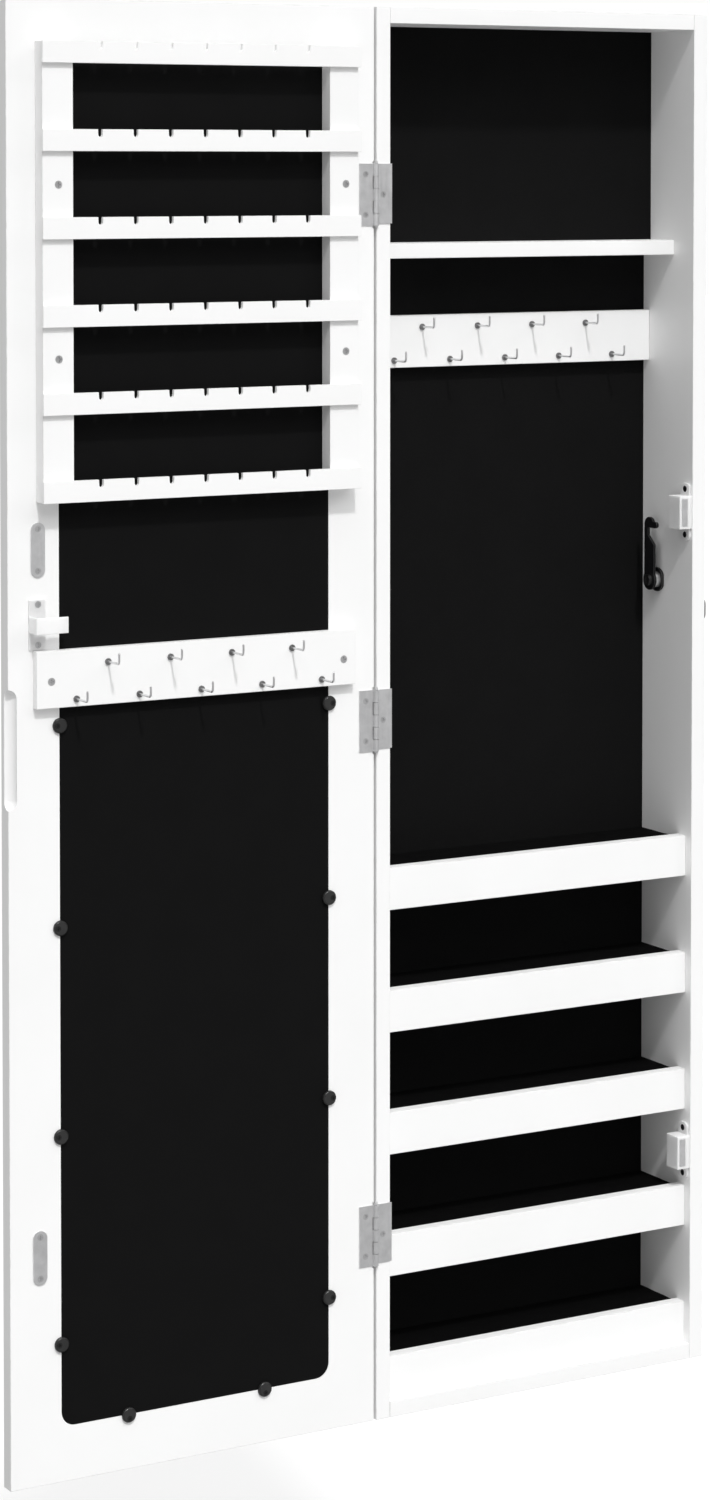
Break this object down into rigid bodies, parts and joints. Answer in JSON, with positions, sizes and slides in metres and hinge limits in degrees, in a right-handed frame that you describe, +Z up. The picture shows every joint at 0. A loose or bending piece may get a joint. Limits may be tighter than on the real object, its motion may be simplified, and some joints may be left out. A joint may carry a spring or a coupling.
{
  "type": "jewelry armoire",
  "caption": "Shallow wall-hung jewelry cabinet, its mirrored door hinged left, with shelf, trays, necklace hooks, earring rack, magnetic catches and cam lock.",
  "frame": {"origin": "point midway between the two keyhole entries, on the back face of the case", "axes": "+Z up, +Y towards the wall, +X to the right seen from the front; the door is open beside the case at -X"},
  "size_m": [0.6288, 0.0958, 1.06],
  "materials": {
    "white_board": "white satin foil on fibreboard",
    "black_board": "black flocked board",
    "tray_felt": "black felt",
    "hook_wire": "grey nickel",
    "hinge_steel": "zinc-plated",
    "screw_steel": "zinc-plated",
    "white_plastic": "moulded",
    "black_plastic": "moulded",
    "magnet_steel": "ground",
    "lock_zinc": "plated die casting",
    "cam_steel": "black oxide",
    "dowel_beech": "raw beech",
    "mirror": "silvered glass"
  },
  "bodies": {
    "case": {"side_panel_left": "white_board", "side_panel_right": "white_board", "top_panel": "white_board", "bottom_panel": "white_board", "back_board": "black_board", "hanging_board": "black_board", "top_shelf": "white_board", "tray_shelf_1": "white_board", "tray_shelf_2": "white_board", "tray_shelf_3": "white_board", "tray_shelf_4": "white_board", "tray_shelf_5": "white_board", "tray_rail_1": "white_board", "tray_rail_2": "white_board", "tray_rail_3": "white_board", "tray_rail_4": "white_board", "tray_rail_5": "white_board", "tray_lining_1": "tray_felt", "tray_lining_2": "tray_felt", "tray_lining_3": "tray_felt", "tray_lining_4": "tray_felt", "tray_lining_5": "tray_felt", "necklace_strip": "white_board", "necklace_hooks": "hook_wire", "catch_housings": "white_plastic", "catch_magnets": "magnet_steel", "case_screws": "screw_steel", "lock_housing": "lock_zinc", "lock_nut": "cam_steel", "hinge_case_leaves": "hinge_steel", "hinge_pins": "hinge_steel", "keyhole_plates": "hinge_steel", "case_dowels": "dowel_beech", "back_board_nails": "screw_steel"},
    "door": {"door_frame": "white_board", "mirror_glass": "mirror", "mirror_backing": "black_board", "mirror_clips": "black_plastic", "mirror_clip_screws": "black_plastic", "rack_stile_left": "white_board", "rack_stile_right": "white_board", "earring_rail_1": "white_board", "earring_rail_2": "white_board", "earring_rail_3": "white_board", "earring_rail_4": "white_board", "earring_rail_5": "white_board", "earring_rail_6": "white_board", "rack_screws": "screw_steel", "door_strip": "white_board", "door_hooks": "hook_wire", "strike_plates": "hinge_steel", "lock_strike": "white_plastic", "hinge_door_leaves": "hinge_steel", "door_screws": "screw_steel"},
    "lock_core": {"lock_plug": "lock_zinc", "lock_cam": "cam_steel", "cam_screw": "cam_steel"},
    "key_shank": {"key_blade": "lock_zinc"},
    "key_grip": {"key_bow": "black_plastic"}
  },
  "joints": [
    {"name": "door_hinge", "type": "hinge", "parent": "case", "child": "door", "pos_m": [-0.1505, -0.072, -0.44], "axis": [0, 0, 1], "range_deg": [0, 180]},
    {"name": "lock_turn", "type": "hinge", "parent": "case", "child": "lock_core", "pos_m": [0.1395, -0.024, -0.356], "axis": [1, 0, 0], "range_deg": [0, 70]},
    {"name": "key_pull", "type": "slide", "parent": "lock_core", "child": "key_shank", "axis": [1, 0, 0], "range_m": [0, 0.026]},
    {"name": "key_fold", "type": "hinge", "parent": "key_shank", "child": "key_grip", "pos_m": [0.1755, -0.024, -0.356], "axis": [0, -1, 0], "range_deg": [0, 90]}
  ]
}
